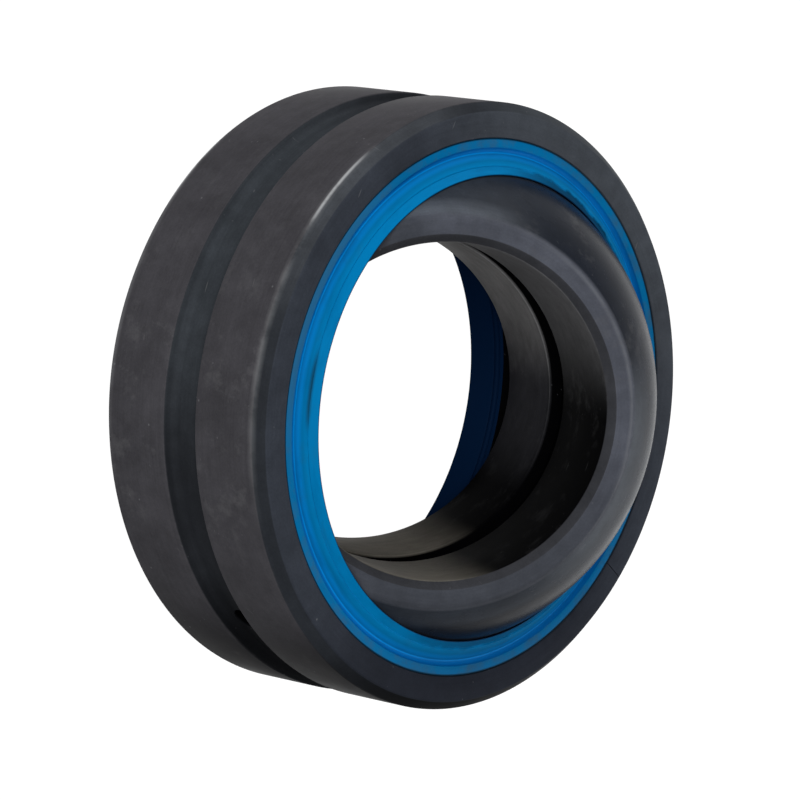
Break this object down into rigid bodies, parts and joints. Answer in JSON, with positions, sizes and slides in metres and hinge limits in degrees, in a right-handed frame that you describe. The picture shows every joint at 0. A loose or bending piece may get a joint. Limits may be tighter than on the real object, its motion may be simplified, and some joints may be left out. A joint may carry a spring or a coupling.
{
  "type": "spherical plain bearing",
  "caption": "Sealed spherical plain bearing: a ball-shaped inner ring that turns and tilts inside a grooved outer ring, with a blue lip seal on each side.",
  "frame": {"origin": "centre of the ball, on the outer ring's axis, midway between the outer ring's side faces", "axes": "+Z along the outer ring's axis towards the front, the side that the picture shows; +Y along the axis that the inner ring is tilted about in the picture, which is upright there"},
  "size_m": [0.055, 0.055, 0.045],
  "materials": {
    "outer_ring_steel": "blackened, satin",
    "inner_ring_steel": "blackened, satin",
    "seal_polyurethane": "satin"
  },
  "bodies": {
    "outer_ring": {"outer_ring": "outer_ring_steel"},
    "seals": {"front_seal": "seal_polyurethane", "rear_seal": "seal_polyurethane"},
    "inner_ring": {"inner_ring": "inner_ring_steel"}
  },
  "joints": [
    {"name": "swivel", "type": "hinge", "parent": "outer_ring", "child": "seals", "pos_m": [0, 0, 0], "axis": [0, 0, 1], "continuous": true},
    {"name": "tilt", "type": "hinge", "parent": "seals", "child": "inner_ring", "pos_m": [0, 0, 0], "axis": [0, 1, 0], "range_deg": [0, 62]}
  ]
}
